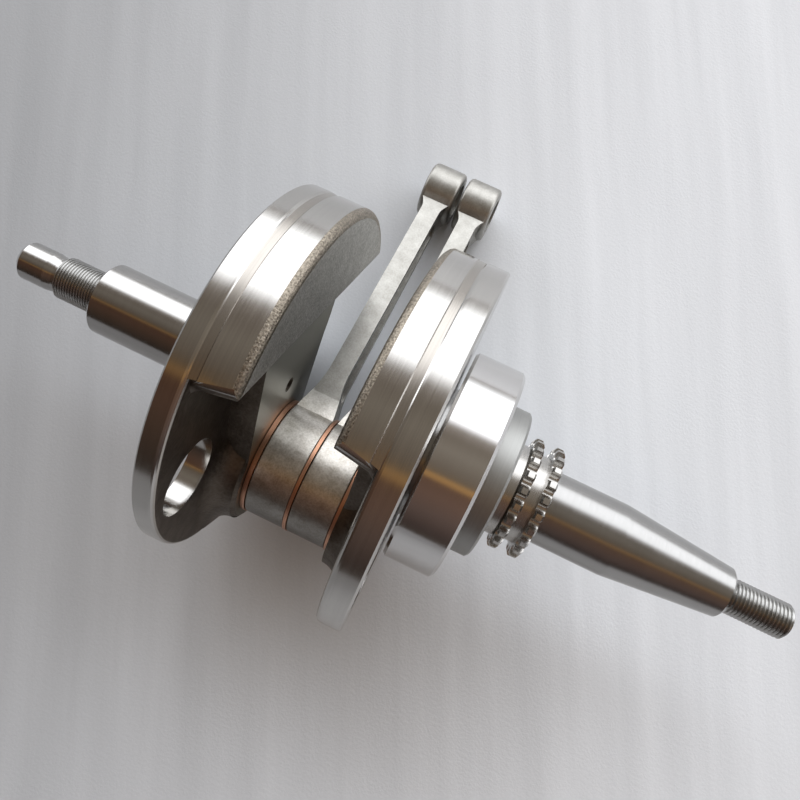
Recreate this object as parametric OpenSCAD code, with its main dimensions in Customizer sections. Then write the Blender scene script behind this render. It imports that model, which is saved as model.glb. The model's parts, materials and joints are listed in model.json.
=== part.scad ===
// Built-up crankshaft of a small V-twin engine: two full-disc crank halves pressed
// onto one crankpin, two side-by-side one-piece connecting rods on caged rollers,
// the drive-side ball bearing, a collar and a double timing sprocket.
// X runs along the crank axis towards the tapered end, Z is up. The origin is the
// centre of the main ball bearing. Stations named *_x are measured along X from
// the crank's mid-plane, half way between the two rods, unless they say otherwise.

/* [Crank] */
// Crank throw, half the stroke
throw = 33; // [28:0.5:36]
// Direction of the crankpin from the axis at rest, from +Y towards +Z
throw_angle = -135; // [-140:1:-120]
// Radius of the discs and counterweights
web_r = 62.4; // [61:0.2:66]
// Mid-plane to the outer face of each disc
web_half_w = 33.4; // [32:0.2:36]
// Thickness of the left disc
left_disc_t = 7.1; // [6:0.1:8]
// Thickness of the right disc
right_disc_t = 8.5; // [7:0.1:9]
// Mid-plane to the inner face of each counterweight
weight_half_gap = 13; // [12.8:0.1:14]
// Axis to the straight edge of each counterweight
weight_chord = 29.8; // [28:0.2:32]
// Mid-plane to the inner face of each pin boss
boss_half_gap = 17.2; // [17.2:0.1:17.6]

/* [Connecting rods] */
// Distance between the big-end and small-end centres
rod_length = 132; // [124:1:136]
// Width of the big end
big_end_w = 14.6; // [14:0.1:14.6]
// Outer radius of the big end
big_end_r = 21.3; // [20.8:0.1:22]
// Outer radius of the small end
small_end_r = 11.2; // [10.4:0.1:12]
// Radius of the wrist-pin bore
wrist_pin_r = 7; // [6:0.25:7.5]
// Width of the small end
small_end_w = 14; // [12:0.2:14.4]
// Width of the shank along the crank axis
shank_w = 7.6; // [6.5:0.1:7.8]

/* [Crankpin bearing] */
// Crankpin radius
pin_r = 15; // [14:0.25:15.25]
// Radius of each big-end roller
roller_r = 1.48; // [1.3:0.01:1.48]
// Rollers in each big end
roller_n = 16; // [12:1:16]
// Thickness of the two outer thrust washers
side_washer_t = 1.6; // [1.2:0.1:1.6]
// Thickness of the thrust washer between the rods
mid_washer_t = 1.2; // [0.8:0.1:1.2]

/* [Main bearing] */
// Outer radius of the ball bearing
bearing_r = 36; // [36:0.5:38]
// Bearing seat radius
bearing_bore_r = 17.5; // [17:0.5:17.5]
// Bearing width
bearing_w = 17; // [15:0.5:18]
// Ball radius
ball_r = 5.556; // [5.2:0.05:5.6]
// Number of balls
ball_n = 9; // [7:1:9]
// Radius of the circle of ball centres
ball_pitch_r = 26.75; // [26.5:0.05:27]

/* [Shafts] */
// Radius of the left main journal
left_journal_r = 12.5; // [12:0.1:13]
// Crest radius of the left thread
left_thread_r = 7.45; // [7:0.05:8]
// Radius of the oil-feed pilot at the left end
left_pilot_r = 6.7; // [6:0.1:6.9]
// Radius of the right shaft, before its taper
right_shaft_r = 12.2; // [12:0.1:12.3]
// Loss of diameter per unit of length along the right taper
taper_rate = 0.2; // [0.1:0.01:0.22]
// Crest radius of the right thread
right_thread_r = 5.85; // [5.4:0.05:6.4]

/* [Collar and sprocket] */
// Collar outer radius
collar_r = 25.3; // [24:0.1:27]
// Collar thickness
collar_t = 7.4; // [6:0.2:8]
// Radius of the sprocket hub
hub_r = 14.8; // [14.5:0.1:15.4]
// Tip radius of the sprocket teeth
tooth_tip_r = 19; // [18.5:0.1:20]
// Teeth on each sprocket ring
tooth_n = 22; // [18:1:24]
// Thickness of each sprocket ring
tooth_ring_t = 3.1; // [2.4:0.1:3.4]

/* [Hidden] */
$fn = 96;
cut = 1;
run_gap = 0.1;
chamfer = 0.8;
edge_steps = 4;

// Stations along the shaft, from the crank's mid-plane outwards.
left_tip_x = -118;
left_pilot_x = -103.1;
left_thread_end_x = -87.8;
left_journal_x = -85.9;
bearing_x = web_half_w + 1.1;
bearing_mid_x = bearing_x + bearing_w / 2;
collar_x = bearing_x + bearing_w;
sprocket_x = collar_x + collar_t;
ring_a_x = sprocket_x + 4.4;
ring_b_x = ring_a_x + 7;
sprocket_end_x = ring_b_x + tooth_ring_t;
taper_x = 98.7;
taper_end_x = 136.9;
taper_end_r = right_shaft_r - (taper_end_x - taper_x) * taper_rate / 2;
seat_r = right_shaft_r + 0.6;
right_tip_x = 157.6;

// Rim of each web: a turned relief beside the disc, rounded inner edges, and the
// leaning wall that ends each counterweight.
relief_w = 1.8;
relief_depth = 0.35;
weight_edge = 2.4;
disc_edge = 1.6;
weight_corner_r = 3;
weight_nose_r = 3;
wall_tilt = 12;
foot_tilt = 48;
foot_w = 1.8;
reach_past = 70;
face_chamfer = 0.6;

// Ends of the shafts: chamfers, thread reliefs and the tapered neck behind the pilot.
thread_depth = 0.9;
pilot_chamfer = 1.5;
pilot_neck_depth = 0.6;
pilot_neck_w = 1.2;
pilot_neck_cone = 3;
end_chamfer = 1;
right_relief_w = 1.2;
shoulder_r = 22.4;
centre_cone_r = 2.6;
centre_drill_depth = 6;

// Pin boss and arm of each web, and the two holes through each disc.
boss_r = 25.6;
boss_chamfer = 1.6;
boss_fillet_r = 8;
rim_land = 0.8;
arm_pin_half_w = 20;
arm_weight_half_w = 26;
disc_hole_r = 12.8;
disc_hole_pitch_r = 45.2;
disc_hole_angle = 74;

// Crankpin, its rollers and its oil ways.
roller_pitch_r = pin_r + roller_r + 0.02;
big_end_bore_r = pin_r + 2 * roller_r + 0.04;
pin_half_l = web_half_w - 1;
pin_bore_r = 5;
pin_bore_end_x = 14;
plug_t = 4;
oil_r = 1.5;
feed_r = 2;
feed_x = -23.2;
big_end_x = mid_washer_t / 2 + run_gap;
rod_mid_x = big_end_x + big_end_w / 2;
washer_r = 21.5;
roller_l = 10.6;
cage_half_w = 6.9;
cage_wall = 0.35;
pocket_gap = 0.08;

// Where the crankpin and the rods lie: the small ends rest level with the rims.
pin_y = throw * cos(throw_angle);
pin_z = throw * sin(throw_angle);
small_end_z = small_end_r - web_r;
rod_angle = asin((small_end_z - pin_z) / rod_length);

// Shank of each rod, along the line between its centres.
shank_pin_half_h = 9.6;
shank_end_half_h = 6.4;
pocket_depth = 1.9;
flange_t = 2.6;
big_end_edge = 0.5;
small_end_edge = 1.6;
oil_slot_w = 1.2;
oil_slot_x = 2.2;
oil_slot_half_h = 7;
shank_start = 12;
big_blend_start = 13;
big_blend_l = 24;
small_blend_start = rod_length - 14;
small_blend_l = 9;
shank_flare = 4;
flare_end = 26;
hollow_start = 34;
hollow_end = rod_length - 20;

// Inside the ball bearing.
ball_gap = 0.02;
groove_r = 1.03 * ball_r;
inner_land_r = 23.4;
outer_land_r = 30.4;
ball_cage_inner_r = 24.7;
ball_cage_outer_r = 28.9;
ball_cage_t = 0.9;
ball_pocket_gap = 0.12;
rivet_r = 0.8;
rivet_head_r = 1.4;
rivet_head_t = 0.6;

// Sprocket teeth and the keyway of the taper.
tooth_root_r = tooth_tip_r - 2.9;
tooth_gap_r = 1.55;
tooth_gap_flare = 0.45;
tooth_tip_bevel_r = 0.9;
tooth_tip_bevel_w = 0.6;
hub_shoulder_h = 0.6;
collar_edge = 0.4;
keyway_w = 4;
keyway_depth = 1.8;
keyway_half_l = 8;
key_mid_drop = 1.4;
centre_drill_r = 1.6;

BALLS = [for (i = [1:ball_n]) str("bearing_ball_", i)];
LEFT_ROLLERS = [for (i = [1:roller_n]) str("left_roller_", i)];
RIGHT_ROLLERS = [for (i = [1:roller_n]) str("right_roller_", i)];

// Moves a piece drawn from the crank's mid-plane into the part's frame.
module in_frame() {
    translate([-bearing_mid_x, 0, 0]) children();
}

// Revolves a profile of [radius, station] points about the crank axis.
module turned(profile) {
    rotate([90, 0, 90]) rotate_extrude() polygon(profile);
}

// Profile points that round an outer edge of radius r: the first edge of a
// cylinder that starts at station x, or the last edge of one that ends there.
function rounded_start(r, x, edge) = [for (i = [0:edge_steps])
    [r - edge + edge * sin(90 * i / edge_steps), x + edge - edge * cos(90 * i / edge_steps)]];
function rounded_end(r, x, edge) = [for (i = [edge_steps:-1:0])
    [r - edge + edge * sin(90 * i / edge_steps), x - edge + edge * cos(90 * i / edge_steps)]];

// Extrudes a flat outline in Y and Z from one station to another.
module across(from_x, to_x) {
    translate([from_x, 0, 0]) rotate([90, 0, 90])
        linear_extrude(to_x - from_x) children();
}

// Puts children on the crankpin's axis.
module at_pin() {
    translate([0, pin_y, pin_z]) children();
}

// A plain round bar or hole along X.
module bar(r, from_x, to_x) {
    across(from_x, to_x) circle(r);
}

// A centre drilling at a shaft end: dir is the way into the metal, 1 or -1.
module centre_drill(end_x, dir) {
    turned([[0, end_x - dir * cut], [centre_cone_r + cut, end_x - dir * cut],
        [centre_drill_r, end_x + dir * centre_cone_r / 2],
        [centre_drill_r, end_x + dir * centre_drill_depth], [0, end_x + dir * centre_drill_depth]]);
}

// ---- Crank halves ----

// Takes the sharp corner off one end of a counterweight's straight edge.
module weight_corner() {
    centre_a = -weight_chord - weight_corner_r;
    centre_b = sqrt(pow(web_r - weight_corner_r, 2) - centre_a * centre_a);
    reach = web_r / (web_r - weight_corner_r);
    difference() {
        polygon([[centre_a, centre_b], [-weight_chord + cut, centre_b], [-weight_chord + cut, web_r],
            [centre_a * reach - cut, web_r], [centre_a * reach, centre_b * reach]]);
        translate([centre_a, centre_b]) circle(weight_corner_r);
    }
}

// Outline of a counterweight; the throw points along the outline's first axis.
module weight_outline() {
    difference() {
        translate([-web_r - reach_past, -web_r - cut])
            square([web_r + reach_past - weight_chord, 2 * (web_r + cut)]);
        weight_corner();
        mirror([0, 1]) weight_corner();
    }
}

// Everything behind a counterweight's end wall, which leans by tilt from the
// straight edge that the wall has at station x, moved out by shift.
module behind_wall(x, shift, tilt) {
    translate([x, shift - weight_chord, 0]) rotate([0, 0, -tilt])
        translate([0, weight_chord, 0]) across(-reach_past, reach_past) weight_outline();
}

// Rounds the edge between a counterweight's inner face and its leaning end wall.
module weight_nose(weight_t) {
    centre_x = weight_t - weight_nose_r;
    centre_a = -weight_chord - weight_nose_r * (1 - sin(wall_tilt)) / cos(wall_tilt);
    out = weight_nose_r + cut;
    translate([0, 0, -web_r]) linear_extrude(2 * web_r) difference() {
        polygon([[centre_x, centre_a], [weight_t + cut, centre_a], [weight_t + cut, centre_a + out],
            [centre_x + out * sin(wall_tilt), centre_a + out * cos(wall_tilt)]]);
        translate([centre_x, centre_a]) circle(weight_nose_r);
    }
}

// Counterweight: turned rim, rounded nose, leaning end wall and a flared foot.
module weight(disc_t, weight_t) {
    rim = web_r - relief_depth;
    relief_end = disc_t + relief_w;
    wall_lean = (weight_t - disc_t) * tan(wall_tilt);
    difference() {
        intersection() {
            turned(concat([[0, disc_t - cut], [rim, disc_t - cut], [rim, relief_end],
                [web_r, relief_end + relief_depth]], rounded_end(web_r, weight_t, weight_edge),
                [[0, weight_t]]));
            union() {
                behind_wall(weight_t, 0, wall_tilt);
                behind_wall(disc_t, wall_lean + foot_w, foot_tilt);
            }
        }
        weight_nose(weight_t);
    }
}

// Outline of the arm that joins the pin boss to the counterweight.
module arm_outline() {
    intersection() {
        polygon([[-weight_chord - cut, -arm_weight_half_w], [throw, -arm_pin_half_w],
            [throw, arm_pin_half_w], [-weight_chord - cut, arm_weight_half_w]]);
        circle(web_r - 2 * chamfer);
    }
}

// Round pin boss with a chamfered face and a wide fillet down to the disc.
module pin_boss(disc_t, boss_t) {
    intersection() {
        translate([0, throw, 0]) rotate([90, 0, 90]) rotate_extrude() difference() {
            polygon([[0, disc_t - cut], [boss_r + boss_fillet_r, disc_t - cut],
                [boss_r + boss_fillet_r, disc_t + boss_fillet_r], [boss_r, disc_t + boss_fillet_r],
                [boss_r, boss_t - boss_chamfer], [boss_r - boss_chamfer, boss_t], [0, boss_t]]);
            translate([boss_r + boss_fillet_r, disc_t + boss_fillet_r]) circle(boss_fillet_r);
        }
        bar(web_r - rim_land, disc_t - cut, boss_t + cut);
    }
}

// One web drawn with its outer face at station 0 and its inside towards +X.
module web(disc_t, weight_t, boss_t) {
    difference() {
        union() {
            turned(concat([[0, 0], [web_r - face_chamfer, 0], [web_r, face_chamfer]],
                rounded_end(web_r, disc_t, disc_edge), [[0, disc_t]]));
            weight(disc_t, weight_t);
            across(disc_t - cut, boss_t) arm_outline();
            pin_boss(disc_t, boss_t);
        }
        for (side = [-1, 1])
            across(-cut, disc_t + cut)
                rotate(side * disc_hole_angle) translate([disc_hole_pitch_r, 0])
                    circle(disc_hole_r);
        translate([0, throw, 0]) bar(pin_r, -cut, boss_t + cut);
    }
}

// Left web, main journal, thread and oil-feed pilot.
module left_crank_half() {
    color("silver") difference() {
        union() {
            translate([-web_half_w, 0, 0]) rotate([throw_angle, 0, 0])
                web(left_disc_t, web_half_w - weight_half_gap, web_half_w - boss_half_gap);
            turned([[0, left_tip_x], [left_pilot_r - pilot_chamfer, left_tip_x],
                [left_pilot_r, left_tip_x + pilot_chamfer],
                [left_pilot_r, left_pilot_x - pilot_neck_w - pilot_neck_cone],
                [left_pilot_r - pilot_neck_depth, left_pilot_x - pilot_neck_w],
                [left_pilot_r - pilot_neck_depth, left_pilot_x],
                [left_thread_r - thread_depth, left_pilot_x],
                [left_thread_r, left_pilot_x + thread_depth], [left_thread_r, left_thread_end_x],
                [left_thread_r - thread_depth, left_thread_end_x + thread_depth],
                [left_thread_r - thread_depth, left_journal_x],
                [left_journal_r - chamfer, left_journal_x],
                [left_journal_r, left_journal_x + chamfer], [left_journal_r, -web_half_w + cut],
                [0, -web_half_w + cut]]);
        }
        bar(feed_r, left_tip_x - cut, feed_x);
        rotate([throw_angle, 0, 0]) translate([feed_x, 0, 0]) rotate([-90, 0, 0])
            cylinder(r = feed_r, h = throw);
        centre_drill(-boss_half_gap, -1);
    }
}

// Right web, bearing seat, straight shaft, taper and thread.
module right_crank_half() {
    neck_r = right_thread_r - thread_depth;
    key_mid_x = (taper_x + taper_end_x) / 2;
    key_h = right_shaft_r - taper_end_r + keyway_depth - key_mid_drop;
    color("silver") difference() {
        union() {
            rotate([throw_angle, 0, 0]) translate([web_half_w, 0, 0]) mirror([1, 0, 0])
                web(right_disc_t, web_half_w - weight_half_gap, web_half_w - boss_half_gap);
            turned([[0, web_half_w - cut], [shoulder_r, web_half_w - cut], [shoulder_r, bearing_x],
                [bearing_bore_r, bearing_x], [bearing_bore_r, collar_x - chamfer],
                [bearing_bore_r - chamfer, collar_x], [seat_r, collar_x],
                [seat_r, sprocket_end_x], [right_shaft_r, sprocket_end_x],
                [right_shaft_r, taper_x], [taper_end_r, taper_end_x - end_chamfer],
                [taper_end_r - end_chamfer, taper_end_x],
                [neck_r, taper_end_x], [neck_r, taper_end_x + right_relief_w],
                [right_thread_r, taper_end_x + right_relief_w + thread_depth],
                [right_thread_r, right_tip_x - end_chamfer],
                [right_thread_r - end_chamfer, right_tip_x], [0, right_tip_x]]);
        }
        for (end_x = [key_mid_x - keyway_half_l, key_mid_x + keyway_half_l])
            translate([end_x, 0, -right_shaft_r]) cylinder(r = keyway_w / 2, h = key_h);
        translate([key_mid_x - keyway_half_l, -keyway_w / 2, -right_shaft_r])
            cube([2 * keyway_half_l, keyway_w, key_h]);
        centre_drill(right_tip_x, -1);
    }
}

// ---- Crankpin and big-end bearings ----

// Hollow crankpin with its feed hole and one oil hole under each rod.
module crankpin() {
    color("lightsteelblue") at_pin() rotate([throw_angle, 0, 0]) difference() {
        turned([[0, -pin_half_l], [pin_r - chamfer, -pin_half_l], [pin_r, -pin_half_l + chamfer],
            [pin_r, pin_half_l - chamfer], [pin_r - chamfer, pin_half_l], [0, pin_half_l]]);
        bar(pin_bore_r, -pin_half_l - cut, pin_bore_end_x);
        for (x = [-rod_mid_x, rod_mid_x])
            translate([x, 0, 0]) rotate([-90, 0, 0]) cylinder(r = oil_r, h = pin_r + cut);
        translate([feed_x, 0, 0]) rotate([90, 0, 0]) cylinder(r = feed_r, h = pin_r + cut);
    }
}

// Steel plug that closes the mouth of the crankpin's bore.
module crankpin_plug() {
    color("dimgray") at_pin()
        bar(pin_bore_r, -pin_half_l + chamfer, -pin_half_l + chamfer + plug_t);
}

// Thrust washer with the crankpin through it, from one station for thickness t.
module thrust_washer(from_x, t) {
    color("peru") at_pin() across(from_x, from_x + t) difference() {
        circle(washer_r);
        circle(pin_r + run_gap);
    }
}

// Cage of one big end, with a pocket for each roller.
module roller_cage(mid_x) {
    inner = pin_r + cage_wall;
    outer = big_end_bore_r - cage_wall;
    pocket_w = 2 * (roller_r + pocket_gap);
    pocket_l = roller_l + 2 * pocket_gap;
    color("darkgoldenrod") at_pin() translate([mid_x, 0, 0]) difference() {
        bar(outer, -cage_half_w, cage_half_w);
        bar(inner, -cage_half_w - cut, cage_half_w + cut);
        for (i = [0:roller_n - 1])
            rotate([i * 360 / roller_n, 0, 0])
                translate([-pocket_l / 2, inner - cut, -pocket_w / 2])
                    cube([pocket_l, outer - inner + 2 * cut, pocket_w]);
    }
}

// Roller i of one big end.
module roller(mid_x, i) {
    color("gainsboro") at_pin() translate([mid_x, 0, 0])
        rotate([i * 360 / roller_n, 0, 0]) translate([0, roller_pitch_r, 0])
            bar(roller_r, -roller_l / 2, roller_l / 2);
}

// ---- Connecting rods ----

// Half width along X of a rod at distance s from the crankpin: wide at both
// ends, narrow along the shank, with smooth blends.
function blend(t) = (1 - cos(180 * min(max(t, 0), 1))) / 2;
function rod_half_w(s) = shank_w / 2
    + (big_end_w - shank_w) / 2 * (1 - blend((s - big_blend_start) / big_blend_l))
    + (small_end_w - shank_w) / 2 * blend((s - small_blend_start) / small_blend_l);

// Plan of the rod seen along the shank's height: widths against distance.
module rod_plan() {
    stations = concat([for (s = [shank_start:2:big_blend_start + big_blend_l + 1]) s],
        [for (s = [small_blend_start:1.5:rod_length]) s]);
    polygon(concat([for (s = stations) [s, rod_half_w(s)]],
        [for (i = [len(stations) - 1:-1:0]) [stations[i], -rod_half_w(stations[i])]]));
}

// Side outline of the shank, tapering from the big end to the small end.
module shank_side() {
    flare_half_h = shank_pin_half_h + shank_flare;
    polygon([[shank_start, -flare_half_h], [flare_end, -shank_pin_half_h],
        [rod_length, -shank_end_half_h], [rod_length, shank_end_half_h],
        [flare_end, shank_pin_half_h], [shank_start, flare_half_h]]);
}

// The hollow in each side face that leaves an I-section shank.
module shank_hollow() {
    start_r = shank_pin_half_h - flange_t - 0.5;
    end_r = shank_end_half_h - flange_t;
    translate([hollow_start, 0]) circle(start_r);
    translate([hollow_end, 0]) circle(end_r);
    polygon([[hollow_start, -start_r], [hollow_end, -end_r], [hollow_end, end_r],
        [hollow_start, start_r]]);
}

// Profile of a round barrel whose two end edges are rounded.
function barrel(r, half, edge) = concat([[0, -half]], rounded_start(r, -half, edge),
    rounded_end(r, half, edge), [[0, half]]);

// One-piece rod about its own centre plane, big end at the crankpin.
module rod(mid_x) {
    half = big_end_w / 2;
    small_half = small_end_w / 2;
    color("lightgray") at_pin() translate([mid_x, 0, 0]) rotate([rod_angle, 0, 0]) difference() {
        union() {
            turned(barrel(big_end_r, half, big_end_edge));
            translate([0, rod_length, 0]) turned(barrel(small_end_r, small_half, small_end_edge));
            intersection() {
                across(-half, half) shank_side();
                translate([0, 0, -big_end_r]) linear_extrude(2 * big_end_r)
                    mirror([1, -1]) rod_plan();
            }
        }
        for (side = [-1, 1])
            across(min(side * half, side * (shank_w / 2 - pocket_depth)),
                max(side * half, side * (shank_w / 2 - pocket_depth))) shank_hollow();
        bar(big_end_bore_r, -half - cut, half + cut);
        translate([0, rod_length, 0]) bar(wrist_pin_r, -small_half - cut, small_half + cut);
        translate([oil_slot_x - oil_slot_w / 2, rod_length, -oil_slot_half_h])
            cube([oil_slot_w, small_end_r + cut, 2 * oil_slot_half_h]);
    }
}

// ---- Main ball bearing ----

module bearing_inner_ring() {
    color("silver") difference() {
        turned([[bearing_bore_r, bearing_x + chamfer], [bearing_bore_r + chamfer, bearing_x],
            [inner_land_r, bearing_x], [inner_land_r, collar_x],
            [bearing_bore_r + chamfer, collar_x], [bearing_bore_r, collar_x - chamfer]]);
        translate([bearing_mid_x, 0, 0]) rotate([90, 0, 90]) rotate_extrude()
            translate([ball_pitch_r - ball_r - ball_gap + groove_r, 0]) circle(groove_r);
    }
}

module bearing_outer_ring() {
    edge = 1;
    color("silver") difference() {
        turned([[outer_land_r, bearing_x], [bearing_r - edge, bearing_x], [bearing_r, bearing_x + edge],
            [bearing_r, collar_x - edge], [bearing_r - edge, collar_x], [outer_land_r, collar_x]]);
        translate([bearing_mid_x, 0, 0]) rotate([90, 0, 90]) rotate_extrude()
            translate([ball_pitch_r + ball_r + ball_gap - groove_r, 0]) circle(groove_r);
    }
}

// Centres of the balls, or with half_step = 0.5 of the rivets between them.
module around_bearing(half_step = 0) {
    for (i = [0:ball_n - 1])
        rotate([(i + half_step) * 360 / ball_n, 0, 0]) translate([0, ball_pitch_r, 0]) children();
}

// A round bar along the radius through each ball centre.
module ball_pockets(r) {
    around_bearing() translate([0, -ball_r, 0]) rotate([-90, 0, 0]) cylinder(r = r, h = 2 * ball_r);
}

// One pressed half of the ball cage; side 1 lies towards the tapered end.
module bearing_cage(side) {
    pocket_r = ball_r + ball_pocket_gap;
    color("darkgray") translate([bearing_mid_x, 0, 0]) mirror([side < 0 ? 1 : 0, 0, 0])
        difference() {
            intersection() {
                union() {
                    bar(ball_cage_outer_r, 0, ball_cage_t);
                    ball_pockets(pocket_r + ball_cage_t);
                }
                across(0, bearing_w / 2) difference() {
                    circle(ball_cage_outer_r);
                    circle(ball_cage_inner_r);
                }
            }
            ball_pockets(pocket_r);
            around_bearing(0.5) bar(rivet_r, -cut, bearing_w);
        }
}

// The rivets that hold the two cage halves together.
module bearing_cage_rivets() {
    color("gray") translate([bearing_mid_x, 0, 0]) around_bearing(0.5) {
        bar(rivet_r, -ball_cage_t, ball_cage_t);
        bar(rivet_head_r, ball_cage_t, ball_cage_t + rivet_head_t);
        bar(rivet_head_r, -ball_cage_t - rivet_head_t, -ball_cage_t);
    }
}

module bearing_ball(i) {
    color("gainsboro") translate([bearing_mid_x, 0, 0])
        rotate([i * 360 / ball_n, 0, 0]) translate([0, ball_pitch_r, 0]) sphere(ball_r);
}

// ---- Collar and timing sprocket ----

module shaft_collar() {
    color("slategray") turned([[seat_r, collar_x], [collar_r - collar_edge, collar_x],
        [collar_r, collar_x + collar_edge], [collar_r, sprocket_x - chamfer],
        [collar_r - chamfer, sprocket_x], [seat_r, sprocket_x]]);
}

// Outline of a toothed ring: a disc with a round chain seat between every two teeth.
module tooth_outline() {
    difference() {
        circle(tooth_tip_r);
        for (i = [0:tooth_n - 1]) rotate(i * 360 / tooth_n) {
            translate([tooth_root_r + tooth_gap_r, 0]) circle(tooth_gap_r);
            polygon([[tooth_root_r + tooth_gap_r, -tooth_gap_r],
                [tooth_tip_r + cut, -tooth_gap_r - tooth_gap_flare],
                [tooth_tip_r + cut, tooth_gap_r + tooth_gap_flare],
                [tooth_root_r + tooth_gap_r, tooth_gap_r]]);
        }
    }
}

// Double sprocket: one hub with a ring of teeth for each cylinder's timing chain.
module timing_sprocket() {
    hub_shoulder_r = hub_r + hub_shoulder_h;
    color("darkgray") difference() {
        union() {
            turned([[0, sprocket_x], [hub_shoulder_r, sprocket_x],
                [hub_shoulder_r, ring_a_x - hub_shoulder_h],
                [hub_r, ring_a_x], [hub_r, sprocket_end_x], [0, sprocket_end_x]]);
            for (x = [ring_a_x, ring_b_x]) intersection() {
                across(x, x + tooth_ring_t) tooth_outline();
                turned([[0, x], [tooth_tip_r - tooth_tip_bevel_r, x],
                    [tooth_tip_r, x + tooth_tip_bevel_w],
                    [tooth_tip_r, x + tooth_ring_t - tooth_tip_bevel_w],
                    [tooth_tip_r - tooth_tip_bevel_r, x + tooth_ring_t], [0, x + tooth_ring_t]]);
            }
        }
        bar(seat_r, sprocket_x - cut, sprocket_end_x + cut);
    }
}

in_frame() left_crank_half();
in_frame() right_crank_half();
in_frame() crankpin();
in_frame() crankpin_plug();
in_frame() rod(-rod_mid_x);  // left_rod
in_frame() rod(rod_mid_x);  // right_rod
in_frame() roller_cage(-rod_mid_x);  // left_roller_cage
in_frame() roller_cage(rod_mid_x);  // right_roller_cage
in_frame() thrust_washer(-big_end_x - big_end_w - run_gap - side_washer_t, side_washer_t);  // left_thrust_washer
in_frame() thrust_washer(-mid_washer_t / 2, mid_washer_t);  // centre_thrust_washer
in_frame() thrust_washer(big_end_x + big_end_w + run_gap, side_washer_t);  // right_thrust_washer
in_frame() bearing_inner_ring();
in_frame() bearing_outer_ring();
in_frame() bearing_cage(-1);  // bearing_cage_left
in_frame() bearing_cage(1);  // bearing_cage_right
in_frame() bearing_cage_rivets();
in_frame() shaft_collar();
in_frame() timing_sprocket();
for (i = [0:ball_n - 1])
    in_frame() bearing_ball(i);
for (i = [0:roller_n - 1]) {
    in_frame() roller(-rod_mid_x, i);
    in_frame() roller(rod_mid_x, i);
}
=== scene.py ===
"""Looks of a built-up V-twin crankshaft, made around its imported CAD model.

Everything is in metres. +X runs along the crank axis towards the tapered end, +Z is up, and the origin
is the centre of the main ball bearing. Lengths named *_mm are in millimetres.
"""
import json
import math

import bmesh
import bpy
from mathutils import Matrix, Vector

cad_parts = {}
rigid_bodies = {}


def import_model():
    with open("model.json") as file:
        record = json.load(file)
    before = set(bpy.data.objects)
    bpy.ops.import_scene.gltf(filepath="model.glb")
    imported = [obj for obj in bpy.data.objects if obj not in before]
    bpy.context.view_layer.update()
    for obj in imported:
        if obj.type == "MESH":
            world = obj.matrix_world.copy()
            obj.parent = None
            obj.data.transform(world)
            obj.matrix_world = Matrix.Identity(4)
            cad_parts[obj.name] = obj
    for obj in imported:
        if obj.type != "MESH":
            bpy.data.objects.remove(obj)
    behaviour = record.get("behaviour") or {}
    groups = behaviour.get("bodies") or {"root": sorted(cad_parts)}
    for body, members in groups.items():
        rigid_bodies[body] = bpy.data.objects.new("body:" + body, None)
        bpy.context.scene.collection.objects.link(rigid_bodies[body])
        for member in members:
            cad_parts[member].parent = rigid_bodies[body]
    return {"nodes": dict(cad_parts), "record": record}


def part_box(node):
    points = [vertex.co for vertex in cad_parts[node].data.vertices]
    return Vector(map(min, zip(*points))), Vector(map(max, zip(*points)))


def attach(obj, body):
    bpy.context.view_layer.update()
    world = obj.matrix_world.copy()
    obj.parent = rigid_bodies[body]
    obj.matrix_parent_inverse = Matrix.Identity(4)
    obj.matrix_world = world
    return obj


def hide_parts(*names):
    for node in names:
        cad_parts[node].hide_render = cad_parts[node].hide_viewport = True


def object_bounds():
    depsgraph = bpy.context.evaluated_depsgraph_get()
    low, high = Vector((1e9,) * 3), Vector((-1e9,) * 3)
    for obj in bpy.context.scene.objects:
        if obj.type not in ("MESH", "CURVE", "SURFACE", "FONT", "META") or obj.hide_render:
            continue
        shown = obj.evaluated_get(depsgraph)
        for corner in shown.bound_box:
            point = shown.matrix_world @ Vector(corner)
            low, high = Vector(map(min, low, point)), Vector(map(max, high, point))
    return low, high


for leftover in list(bpy.data.objects):
    bpy.data.objects.remove(leftover)
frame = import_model()
cad_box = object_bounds()

MM = 0.001
scene = bpy.context.scene
nodes = frame["nodes"]


def middle(node):
    """Centre of a CAD node's box."""
    low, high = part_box(node)
    return (low + high) / 2


# Driving places, all from the frame.
MID_X = middle("centre_thrust_washer").x
PIN = middle("crankpin")
WEB_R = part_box("left_crank_half")[1].z
FLOOR_Z = cad_box[0].z
WEB_HALF_W = 33.4 * MM
LEFT_TIP_X = cad_box[0].x
RIGHT_TIP_X = cad_box[1].x


# ---- Camera ----

CAMERA_PLACE = (-0.0074, -0.0218, 0.2307)
CAMERA_RIGHT = (0.9008, 0.4343, -0.0061)
CAMERA_FORWARD = (-0.0748, 0.1415, -0.9871)
CAMERA_LENS_MM = 31.85
CAMERA_SENSOR_MM = 36


def make_camera():
    data = bpy.data.cameras.new("camera")
    data.sensor_width = CAMERA_SENSOR_MM
    data.lens = CAMERA_LENS_MM
    data.clip_start = 0.01
    data.clip_end = 20
    camera = bpy.data.objects.new("camera", data)
    scene.collection.objects.link(camera)
    forward = Vector(CAMERA_FORWARD).normalized()
    right = Vector(CAMERA_RIGHT)
    right = (right - forward * right.dot(forward)).normalized()
    up = right.cross(forward)
    turn = Matrix((right, up, -forward)).transposed()
    camera.matrix_world = Matrix.Translation(CAMERA_PLACE) @ turn.to_4x4()
    scene.camera = camera


# ---- Node helpers ----

def linear(red, green, blue):
    """A display colour, each channel 0 to 255, as the linear colour that shaders take."""
    def channel(value):
        value /= 255
        return value / 12.92 if value <= 0.04045 else ((value + 0.055) / 1.055) ** 2.4
    return (channel(red), channel(green), channel(blue), 1)


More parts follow.
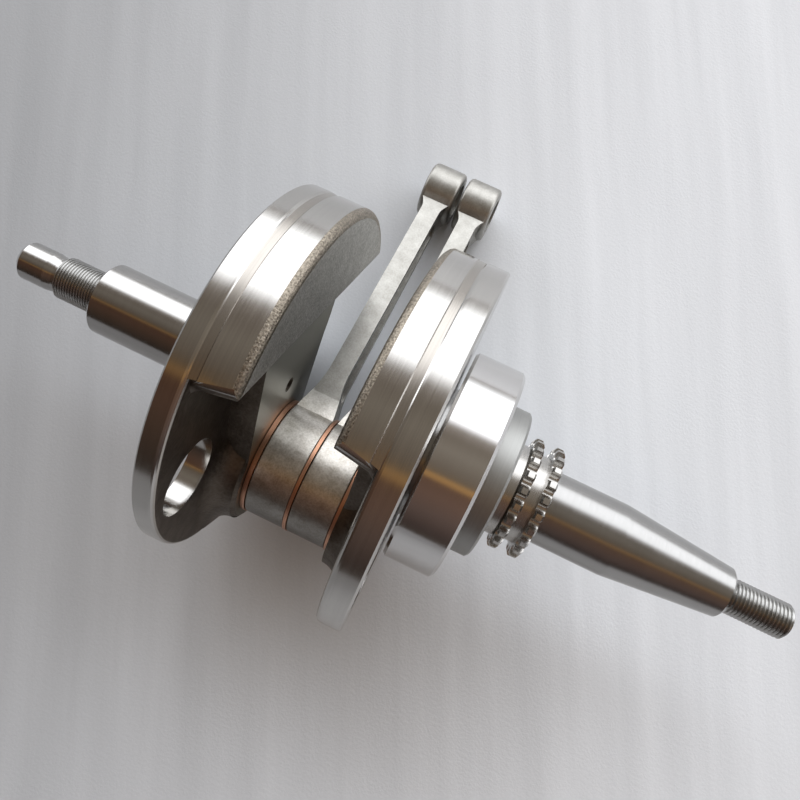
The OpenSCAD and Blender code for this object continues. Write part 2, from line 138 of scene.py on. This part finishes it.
def add(tree, kind, inputs=None, **settings):
    """Adds a node, applies its settings, and links or fills its inputs."""
    node = tree.nodes.new(kind)
    for name, value in settings.items():
        setattr(node, name, value)
    for name, value in (inputs or {}).items():
        if isinstance(value, bpy.types.NodeSocket):
            tree.links.new(value, node.inputs[name])
        else:
            node.inputs[name].default_value = value
    return node


def maths(tree, operation, first, second=0.0):
    """The output of one Math node."""
    return add(tree, "ShaderNodeMath", {0: first, 1: second}, operation=operation).outputs[0]


def spread(tree, value, low, high):
    """Maps a 0 to 1 value to low to high."""
    return add(tree, "ShaderNodeMapRange", {0: value, 3: low, 4: high}).outputs[0]


def noise(tree, vector, scale, detail=3.0, roughness=0.5):
    """The value of one Noise Texture."""
    inputs = {"Vector": vector, "Scale": scale, "Detail": detail, "Roughness": roughness}
    return add(tree, "ShaderNodeTexNoise", inputs).outputs[0]


def mixed(tree, factor, first, second):
    """Mixes two colours."""
    node = add(tree, "ShaderNodeMix", data_type="RGBA")
    for socket, value in ((node.inputs[0], factor), (node.inputs[6], first), (node.inputs[7], second)):
        if isinstance(value, bpy.types.NodeSocket):
            tree.links.new(value, socket)
        else:
            socket.default_value = value
    return node.outputs[2]


def ramp(tree, factor, stops):
    """A Color Ramp with (place, colour) stops."""
    node = add(tree, "ShaderNodeValToRGB", {0: factor})
    elements = node.color_ramp.elements
    for place, colour in stops[1:-1]:
        elements.new(place)
    for element, (place, colour) in zip(elements, stops):
        element.position = place
        element.color = colour
    return node.outputs[0]


def new_material(name):
    """An empty material with one Principled shader. Returns (material, tree, shader)."""
    material = bpy.data.materials.new(name)
    material.use_nodes = True
    tree = material.node_tree
    return material, tree, tree.nodes["Principled BSDF"]


def object_place(tree):
    return add(tree, "ShaderNodeTexCoord").outputs["Object"]


LATHE_TURN = 0.4 * MM  # per radian, so that the lines aren't perfectly closed rings


def lathe_place(tree, centre=(0, 0, 0)):
    """Coordinates that only change across a lathe's cut: station along X, radius, and a slow turn."""
    place = object_place(tree)
    moved = add(tree, "ShaderNodeVectorMath", {0: place, 1: centre}, operation="SUBTRACT").outputs[0]
    split = add(tree, "ShaderNodeSeparateXYZ", {0: moved}).outputs
    radius = maths(tree, "SQRT", maths(tree, "ADD", maths(tree, "MULTIPLY", split[1], split[1]),
                                       maths(tree, "MULTIPLY", split[2], split[2])))
    turn = maths(tree, "MULTIPLY", maths(tree, "ARCTAN2", split[2], split[1]), LATHE_TURN)
    return add(tree, "ShaderNodeCombineXYZ", {0: split[0], 1: radius, 2: turn}).outputs[0]


# ---- Materials ----

# Scales of the noises, in cells per metre.
FINE_LINES = 6000
COARSE_LINES = 1400
SMEARS = 90
BLOTCHES = 160
ROD_BLOTCHES = 230
ORANGE_PEEL = 620

# Height of the lathe's lines.
LINE_HEIGHT = 0.02 * MM

# The big end's skin, by distance from the crankpin, and painted shade on its -Y side: its colour darkens
# there in place of the crank's shadow.
BIG_END_R = 21 * MM
BIG_END_BLEND_R = 30 * MM
PAINTED_SHADE_FULL_Y = -20 * MM
PAINTED_SHADE_NONE_Y = -5 * MM
PAINTED_SHADE_DARKEST = 0.3


def turned_steel(name, colour, rough, centre=(0, 0, 0), line_depth=0.4, soil=0.25, shine=0.5):
    """Turned or ground steel: fine lines round the axis, uneven polish and faint handling marks."""
    material, tree, shader = new_material(name)
    lathe = lathe_place(tree, centre)
    place = object_place(tree)
    fine = noise(tree, lathe, FINE_LINES, 2)
    coarse = noise(tree, lathe, COARSE_LINES, 2)
    lines = maths(tree, "ADD", maths(tree, "MULTIPLY", fine, 0.65), maths(tree, "MULTIPLY", coarse, 0.35))
    smears = noise(tree, place, SMEARS, 4, 0.6)
    dark = tuple(channel * (1 - soil) for channel in colour[:3]) + (1,)
    brushed = maths(tree, "ADD", maths(tree, "MULTIPLY", smears, 0.45), spread(tree, lines, -0.35, 0.9))
    tree.links.new(mixed(tree, brushed, dark, colour), shader.inputs["Base Color"])
    uneven = maths(tree, "ADD", spread(tree, lines, -0.04, 0.05), spread(tree, smears, -0.03, 0.04))
    tree.links.new(maths(tree, "ADD", uneven, rough), shader.inputs["Roughness"])
    bump = add(tree, "ShaderNodeBump", {"Height": lines, "Strength": line_depth, "Distance": LINE_HEIGHT})
    tree.links.new(bump.outputs[0], shader.inputs["Normal"])
    shader.inputs["Metallic"].default_value = 1
    shader.inputs["Anisotropic"].default_value = shine
    tangent = add(tree, "ShaderNodeTangent", direction_type="RADIAL", axis="X")
    tree.links.new(tangent.outputs[0], shader.inputs["Tangent"])
    return material


def forged_height(tree, place, grain_mm):
    """Pits and grains of a forged skin. Returns (grain, height)."""
    grain = noise(tree, place, 1 / (grain_mm * MM), 5, 0.62)
    cells = add(tree, "ShaderNodeTexVoronoi", {"Vector": place, "Scale": 0.7 / (grain_mm * MM)})
    pits = spread(tree, cells.outputs["Distance"], 0.0, 0.7)
    height = maths(tree, "ADD", maths(tree, "MULTIPLY", grain, 0.7), maths(tree, "MULTIPLY", pits, 0.5))
    return grain, height


def forged_steel(name, light, dark, rough, grain_mm=0.8, relief_mm=0.25, blotches=0.6):
    """Forged skin: pitted, mottled, slightly browned in its hollows."""
    material, tree, shader = new_material(name)
    place = object_place(tree)
    grain, height = forged_height(tree, place, grain_mm)
    blotch = noise(tree, place, BLOTCHES, 4, 0.6)
    tone = maths(tree, "ADD", maths(tree, "MULTIPLY", blotch, blotches),
                 maths(tree, "MULTIPLY", height, 1 - blotches))
    tree.links.new(ramp(tree, tone, [(0.3, dark), (0.68, light)]), shader.inputs["Base Color"])
    tree.links.new(spread(tree, grain, rough - 0.1, rough + 0.14), shader.inputs["Roughness"])
    bump = add(tree, "ShaderNodeBump", {"Height": height, "Strength": 0.7, "Distance": relief_mm * MM})
    tree.links.new(bump.outputs[0], shader.inputs["Normal"])
    shader.inputs["Metallic"].default_value = 1
    return material


def rod_steel():
    """Peened shank and small end, and the darker, glossy orange-peel skin round the big end, with painted
    shade darkening its -Y side.
    """
    material, tree, shader = new_material("peened_rod")
    place = object_place(tree)
    moved = add(tree, "ShaderNodeVectorMath", {0: place, 1: PIN}, operation="SUBTRACT").outputs[0]
    flat = add(tree, "ShaderNodeVectorMath", {0: moved, 1: (0, 1, 1)}, operation="MULTIPLY").outputs[0]
    away = add(tree, "ShaderNodeVectorMath", {0: flat}, operation="LENGTH").outputs["Value"]
    big_end = add(tree, "ShaderNodeMapRange", {0: away, 1: BIG_END_BLEND_R, 2: BIG_END_R},
                  interpolation_type="SMOOTHSTEP").outputs[0]
    grain, height = forged_height(tree, place, 0.5)
    peel = noise(tree, place, ORANGE_PEEL, 3, 0.5)
    blotch = noise(tree, place, ROD_BLOTCHES, 4, 0.6)
    tone = maths(tree, "ADD", maths(tree, "MULTIPLY", blotch, 0.55), maths(tree, "MULTIPLY", height, 0.45))
    shank = ramp(tree, tone, [(0.3, ROD_DARK), (0.68, ROD_LIGHT)])
    bright = ramp(tree, tone, [(0.34, BIG_END_DARK), (0.66, BIG_END_LIGHT)])
    side = add(tree, "ShaderNodeSeparateXYZ", {0: moved}).outputs[1]
    # Painted shade: the big end's colour is scaled down towards -Y, where the crank's shadow falls.
    big_end_painted_shade = add(tree, "ShaderNodeMapRange",
                {0: side, 1: PAINTED_SHADE_FULL_Y, 2: PAINTED_SHADE_NONE_Y, 3: PAINTED_SHADE_DARKEST, 4: 1.0}).outputs[0]
    barrel = add(tree, "ShaderNodeVectorMath", {0: bright, 3: big_end_painted_shade}, operation="SCALE").outputs[0]
    tree.links.new(mixed(tree, big_end, shank, barrel), shader.inputs["Base Color"])
    shank_rough = spread(tree, grain, 0.32, 0.5)
    barrel_rough = spread(tree, blotch, 0.26, 0.42)
    rough = maths(tree, "ADD", maths(tree, "MULTIPLY", big_end, barrel_rough),
                  maths(tree, "MULTIPLY", maths(tree, "SUBTRACT", 1, big_end), shank_rough))
    tree.links.new(rough, shader.inputs["Roughness"])
    skin = maths(tree, "ADD", maths(tree, "MULTIPLY", height, 0.35), maths(tree, "MULTIPLY", peel, 0.65))
    bump = add(tree, "ShaderNodeBump", {"Height": skin, "Strength": 0.6, "Distance": 0.1 * MM})
    tree.links.new(bump.outputs[0], shader.inputs["Normal"])
    shader.inputs["Metallic"].default_value = 1
    return material


STEEL = (0.54, 0.525, 0.5, 1)
POLISHED = (0.62, 0.61, 0.6, 1)
ROD_LIGHT = (0.43, 0.42, 0.39, 1)
ROD_DARK = (0.27, 0.26, 0.235, 1)
BIG_END_LIGHT = (0.74, 0.71, 0.66, 1)
BIG_END_DARK = (0.38, 0.35, 0.3, 1)
RIM = turned_steel("ground_rim", STEEL, 0.13, shine=0.6)
RELIEF = turned_steel("turned_relief", (0.46, 0.43, 0.39, 1), 0.22, soil=0.35)
SHAFT = turned_steel("ground_shaft", (0.47, 0.46, 0.445, 1), 0.14, soil=0.2, shine=0.6)
SATIN = turned_steel("satin_shaft", (0.36, 0.355, 0.345, 1), 0.2, soil=0.2, shine=0.5)
THREAD = turned_steel("cut_thread", (0.46, 0.455, 0.44, 1), 0.24, soil=0.4)
FORGED = forged_steel("forged_web", (0.165, 0.142, 0.118, 1), (0.06, 0.047, 0.036, 1), 0.42)
# Painted light: the counterweights' inner faces get a much lighter copy of the forged skin, standing in
# for the extra light they catch.
PAINTED_LIGHT_WEIGHT_FACE = forged_steel("weight_face_painted_light", (0.6, 0.595, 0.565, 1), (0.24, 0.23, 0.21, 1), 0.48,
                           grain_mm=0.6, relief_mm=0.28, blotches=0.3)
BOSS_FACE = turned_steel("ground_boss", (0.22, 0.215, 0.18, 1), 0.34, PIN, shine=0.2)
SPECKLED = forged_steel("rough_edge", (0.4, 0.355, 0.29, 1), (0.05, 0.04, 0.03, 1), 0.4,
                        grain_mm=0.45, relief_mm=0.3, blotches=0.15)
PEENED = rod_steel()
BEARING = turned_steel("lapped_bearing", POLISHED, 0.12, line_depth=0.15, soil=0.1, shine=0.3)
PRESSED = turned_steel("pressed_cage", (0.5, 0.49, 0.47, 1), 0.35)
PIN_STEEL = turned_steel("ground_pin", POLISHED, 0.16, PIN)
COPPER = turned_steel("copper_washer", (0.66, 0.36, 0.235, 1), 0.3, PIN, soil=0.35)
COLLAR = turned_steel("dull_collar", (0.4, 0.4, 0.385, 1), 0.45, shine=0.2)
SPROCKET = turned_steel("sprocket_steel", (0.5, 0.485, 0.46, 1), 0.26, shine=0.2)

BY_SLOT = {
    "crank_steel": RIM,
    "rod_steel": PEENED,
    "pin_steel": PIN_STEEL,
    "bearing_steel": BEARING,
    "cage_steel": PRESSED,
    "copper": COPPER,
    "collar_steel": COLLAR,
    "sprocket_steel": SPROCKET,
}


def dress_cad_nodes():
    """Gives each carried-over CAD node the material of its record slot."""
    for part in frame["record"]["subparts"]:
        node = nodes[part["node"]]
        node.data.materials.clear()
        node.data.materials.append(BY_SLOT[part["material_slot"]])


# ---- Crank halves ----

THREAD_STEPS = 96
THREAD_ROWS_PER_PITCH = 10
THREAD_DEPTH = 0.6134  # of the pitch
CREST_FLAT = 0.12  # of half a pitch
THREAD_FLANK = 0.7  # of half a pitch
THREAD_SEAT_GAP = 0.05 * MM
THREAD_RUN_OUT = 0.9 * MM  # along the axis and inwards alike
WEB_SKINS = (RIM, SHAFT, FORGED, RELIEF, SPECKLED, PAINTED_LIGHT_WEIGHT_FACE, BOSS_FACE, SATIN)
SLACK = 0.05 * MM

# Limits on how far a polygon's normal leans along X: above FLAT it faces along the axis, below SLOPING it
# belongs to the rim, and below UPRIGHT to a bore.
FLAT = 0.99
SLOPING = 0.9
UPRIGHT = 0.05

OUTER_EDGE = 0.7 * MM
RIM_DEPTH = 1.2 * MM
RELIEF_SIDE = 0.4 * MM
WEIGHT_HALF_GAP = 13 * MM
WEIGHT_EDGE = 2.4 * MM
BOSS_HALF_GAP = 17.2 * MM
PIN_R = 15 * MM
RELIEF_W = 1.8 * MM
LEFT_DISC_T = 7.1 * MM
RIGHT_DISC_T = 8.5 * MM
LEFT_THREAD = (LEFT_TIP_X + 15.8 * MM, LEFT_TIP_X + 30.2 * MM)
RIGHT_THREAD = (RIGHT_TIP_X - 18.6 * MM, RIGHT_TIP_X - 1.0 * MM)
HOLE_R = 12.8 * MM
HOLE_PITCH_R = 45.2 * MM
THROW_ANGLE = -135
HOLE_ANGLE = 74
HOLE_ANGLES = (math.radians(THROW_ANGLE - HOLE_ANGLE), math.radians(THROW_ANGLE + HOLE_ANGLE))


def about_axis(vertex):
    """Distance from the crank axis."""
    return math.hypot(vertex.y, vertex.z)


def sink_thread_seat(mesh, low_x, high_x, crest, root):
    """Draws the plain thread cylinder of a crank half in, below the cut thread that covers it."""
    slack = 0.02 * MM
    for vertex in mesh.vertices:
        inside = low_x - slack < vertex.co.x < high_x + slack
        if inside and abs(about_axis(vertex.co) - crest) < slack:
            vertex.co.y *= root / crest
            vertex.co.z *= root / crest


def cut_thread(name, low_x, high_x, crest, pitch, base):
    """A closed helical thread between two stations, sloping down to the base radius at both ends."""
    depth = THREAD_DEPTH * pitch
    rows = int((high_x - low_x) / pitch * THREAD_ROWS_PER_PITCH)
    mesh = bpy.data.meshes.new(name)
    shape = bmesh.new()
    rings = []
    for row in range(rows + 1):
        x = low_x + (high_x - low_x) * row / rows
        limit = base + min(x - low_x, high_x - x)
        ring = []
        for step in range(THREAD_STEPS):
            phase = (x / pitch - step / THREAD_STEPS) % 1
            tooth = abs(2 * phase - 1)
            tooth = min(max((tooth - CREST_FLAT) / THREAD_FLANK, 0), 1)
            radius = min(crest - depth * tooth, max(limit, base))
            angle = 2 * math.pi * step / THREAD_STEPS
            ring.append(shape.verts.new((x, radius * math.cos(angle), radius * math.sin(angle))))
        rings.append(ring)
    for low_ring, high_ring in zip(rings, rings[1:]):
        for step in range(THREAD_STEPS):
            after = (step + 1) % THREAD_STEPS
            face = shape.faces.new((low_ring[step], high_ring[step], high_ring[after], low_ring[after]))
            face.smooth = True
    shape.faces.new(rings[0])
    shape.faces.new(list(reversed(rings[-1])))
    bmesh.ops.recalc_face_normals(shape, faces=shape.faces)
    shape.to_mesh(mesh)
    shape.free()
    mesh.materials.append(THREAD)
    piece = bpy.data.objects.new(name, mesh)
    scene.collection.objects.link(piece)
    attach(piece, "crank")


def in_disc_hole(centre):
    """Whether a point lies on the bore of one of a web's two disc holes."""
    for angle in HOLE_ANGLES:
        hole_y = HOLE_PITCH_R * math.cos(angle)
        hole_z = HOLE_PITCH_R * math.sin(angle)
        if math.hypot(centre.y - hole_y, centre.z - hole_z) < HOLE_R + SLACK:
            return True
    return False


def skin_of(polygon, relief_from, relief_to):
    """The material a crank half has at this polygon. Stations are distances from the crank's mid-plane."""
    centre = polygon.center
    facing = abs(polygon.normal.x)
    along = abs(centre.x - MID_X)
    radius = about_axis(centre)
    if along > WEB_HALF_W + SLACK:
        return SHAFT if centre.x < MID_X else SATIN
    if along > WEB_HALF_W - OUTER_EDGE:
        return RIM
    if radius > WEB_R - WEIGHT_EDGE - 2 * SLACK and along < WEIGHT_HALF_GAP + WEIGHT_EDGE - 2 * SLACK:
        return FORGED if facing > FLAT and radius < WEB_R - WEIGHT_EDGE else SPECKLED
    if radius > WEB_R - RIM_DEPTH and facing < SLOPING:
        return RELIEF if relief_from - RELIEF_SIDE < along < relief_to + RELIEF_SIDE else RIM
    if facing > FLAT and abs(along - WEIGHT_HALF_GAP) < SLACK:
        return PAINTED_LIGHT_WEIGHT_FACE
    if facing > FLAT and abs(along - BOSS_HALF_GAP) < SLACK:
        return BOSS_FACE
    if math.hypot(centre.y - PIN.y, centre.z - PIN.z) < PIN_R + SLACK:
        return RIM
    if facing < UPRIGHT and in_disc_hole(centre):
        return RIM
    return FORGED


def crank_half(node, disc_t, thread_low, thread_high, crest, pitch):
    """A crank half with its skins told apart and its thread cut."""
    source = nodes[node]
    mesh = source.data.copy()
    mesh.name = node + "_skin"
    root = crest - THREAD_DEPTH * pitch - THREAD_SEAT_GAP
    sink_thread_seat(mesh, thread_low, thread_high, crest, root)
    mesh.materials.clear()
    for material in WEB_SKINS:
        mesh.materials.append(material)
    relief_to = WEB_HALF_W - disc_t
    for polygon in mesh.polygons:
        skin = skin_of(polygon, relief_to - RELIEF_W, relief_to)
        polygon.material_index = WEB_SKINS.index(skin)
    piece = bpy.data.objects.new(node + "_skin", mesh)
    scene.collection.objects.link(piece)
    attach(piece, "crank")
    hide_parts(node)
    cut_thread(node + "_thread", thread_low - THREAD_RUN_OUT, thread_high + THREAD_RUN_OUT, crest, pitch,
               crest - THREAD_RUN_OUT)


# ---- Floor and light ----

FLOOR_HALF = 30.0
FOAM_LIGHT = linear(243, 247, 251)
FOAM_SHADE = linear(229, 233, 237)
FOAM_LENGTHWAYS = math.radians(-25.7)
FOAM_STREAKS = 90  # cells per metre
FOAM_STREAK_STRETCH = 0.06
FOAM_GRAIN = 900  # cells per metre
FOAM_GRAIN_HEIGHT = 0.3 * MM

# The floor's painted shade: its colour darkens towards -X, standing in for the light's fall-off. The way
# it brightens, where that starts and ends, and the darkest share.
FLOOR_PAINTED_SHADE_TOWARDS = (0.96, 0.26, 0)
FLOOR_PAINTED_SHADE_FROM = -0.21
FLOOR_PAINTED_SHADE_TO = 0.07
FLOOR_PAINTED_SHADE_DARKEST = 0.52


def make_floor():
    """A pale closed-cell foam sheet under the crank, with painted shade darkening it towards -X."""
    mesh = bpy.data.meshes.new("floor")
    signs = ((-1, -1), (1, -1), (1, 1), (-1, 1))
    corners = [(x_sign * FLOOR_HALF, y_sign * FLOOR_HALF, FLOOR_Z) for x_sign, y_sign in signs]
    mesh.from_pydata(corners, [], [(0, 1, 2, 3)])
    floor = bpy.data.objects.new("floor", mesh)
    scene.collection.objects.link(floor)
    material, tree, shader = new_material("foam_floor")
    place = object_place(tree)
    turned = add(tree, "ShaderNodeMapping", {"Vector": place, "Rotation": (0, 0, FOAM_LENGTHWAYS)})
    stretched = add(tree, "ShaderNodeMapping",
                    {"Vector": turned.outputs[0], "Scale": (1, FOAM_STREAK_STRETCH, 1)})
    streaks = noise(tree, stretched.outputs[0], FOAM_STREAKS, 3, 0.5)
    grain = noise(tree, place, FOAM_GRAIN, 3, 0.6)
    tone = maths(tree, "ADD", maths(tree, "MULTIPLY", streaks, 0.75), maths(tree, "MULTIPLY", grain, 0.25))
    sheet = ramp(tree, tone, [(0.3, FOAM_SHADE), (0.7, FOAM_LIGHT)])
    # Painted shade: the sheet's colour is scaled down towards -X in place of the light falling off.
    across = add(tree, "ShaderNodeVectorMath", {0: place, 1: FLOOR_PAINTED_SHADE_TOWARDS}, operation="DOT_PRODUCT")
    floor_painted_shade = add(tree, "ShaderNodeMapRange",
              {0: across.outputs["Value"], 1: FLOOR_PAINTED_SHADE_FROM, 2: FLOOR_PAINTED_SHADE_TO, 3: FLOOR_PAINTED_SHADE_DARKEST, 4: 1.0})
    shaded_sheet = add(tree, "ShaderNodeVectorMath", {0: sheet, 3: floor_painted_shade.outputs[0]}, operation="SCALE").outputs[0]
    tree.links.new(shaded_sheet, shader.inputs["Base Color"])
    shader.inputs["Roughness"].default_value = 0.5
    bump = add(tree, "ShaderNodeBump", {"Height": grain, "Strength": 0.25, "Distance": FOAM_GRAIN_HEIGHT})
    tree.links.new(bump.outputs[0], shader.inputs["Normal"])
    mesh.materials.append(material)


def smooth_rise(tree, value, start, end):
    """0 at start and 1 at end, eased at both. The start may be the higher of the two."""
    node = add(tree, "ShaderNodeMapRange", {0: value, 1: start, 2: end}, interpolation_type="SMOOTHSTEP")
    return node.outputs[0]


def soft_room(tree, angle, stops):
    """The room's light by the angle about the crank axis in degrees: 0 is level towards +Y, 90 is up."""
    share = maths(tree, "MULTIPLY", angle, 1 / 180)
    shades = []
    for degrees, colour in stops:
        shade = tuple(channel * ROOM_SCALE for channel in linear(*colour)[:3])
        shades.append((degrees / 180, shade + (1,)))
    return ramp(tree, share, shades)


BACKDROP = linear(206, 207, 208)
WINDOW_POWER = 2.9
WINDOW_TINT = (1, 1.02, 1.06)
WINDOW_SILL = (4, 14)  # degrees
WINDOW_HEAD = (64, 52)  # degrees
ROOM_SIDES = (-0.35, 0.25)  # share of a direction along X
ROOM_SCALE = 1.15
# The room's colours round the crank axis, as (degrees, display colour): window frame, wall, a strip of
# wood near 114 degrees, and the floor side. The left one is what the faces turned towards -X mirror.
ROOM_RIGHT = [
    (0, (150, 140, 133)), (4, (225, 225, 225)), (66, (150, 140, 130)), (73, (130, 120, 108)),
    (86, (148, 139, 127)), (104, (125, 114, 102)), (111, (122, 108, 92)), (112.5, (196, 152, 98)),
    (116.5, (196, 150, 94)), (118.5, (112, 88, 74)), (132, (122, 98, 86)), (150, (110, 93, 87)),
    (170, (76, 64, 61)), (180, (70, 60, 54)),
]
ROOM_LEFT = [
    (0, (150, 140, 133)), (4, (225, 225, 225)), (66, (140, 130, 120)), (73, (118, 108, 98)),
    (86, (130, 122, 112)), (104, (108, 98, 88)), (111, (100, 84, 64)), (112.8, (150, 116, 76)),
    (115.5, (150, 114, 72)), (118.5, (84, 60, 48)), (132, (88, 66, 54)), (150, (76, 60, 50)),
    (170, (60, 50, 44)), (180, (54, 46, 38)),
]


def make_light():
    """A wide window towards +Y in a dim, brownish room that is darker towards -X."""
    world = bpy.data.worlds.new("soft_room")
    world.use_nodes = True
    tree = world.node_tree
    direction = add(tree, "ShaderNodeTexCoord").outputs["Generated"]
    split = add(tree, "ShaderNodeSeparateXYZ", {0: direction}).outputs
    angle = maths(tree, "MULTIPLY", maths(tree, "ARCTAN2", split[2], split[1]), 180 / math.pi)
    side = add(tree, "ShaderNodeMapRange", {0: split[0], 1: ROOM_SIDES[0], 2: ROOM_SIDES[1]}).outputs[0]
    room = mixed(tree, side, soft_room(tree, angle, ROOM_LEFT), soft_room(tree, angle, ROOM_RIGHT))
    window = maths(tree, "MULTIPLY", smooth_rise(tree, angle, *WINDOW_SILL),
                   smooth_rise(tree, angle, *WINDOW_HEAD))
    glass = tuple(WINDOW_POWER * channel for channel in WINDOW_TINT) + (1,)
    lit = mixed(tree, window, room, glass)
    seen = add(tree, "ShaderNodeLightPath").outputs["Is Camera Ray"]
    background = tree.nodes["Background"]
    tree.links.new(mixed(tree, seen, lit, BACKDROP), background.inputs[0])
    scene.world = world


make_camera()
make_floor()
make_light()
dress_cad_nodes()

crank_half("left_crank_half", LEFT_DISC_T, *LEFT_THREAD, crest=7.45 * MM, pitch=1.0 * MM)
crank_half("right_crank_half", RIGHT_DISC_T, *RIGHT_THREAD, crest=5.85 * MM, pitch=1.25 * MM)

scene.view_settings.view_transform = "Standard"
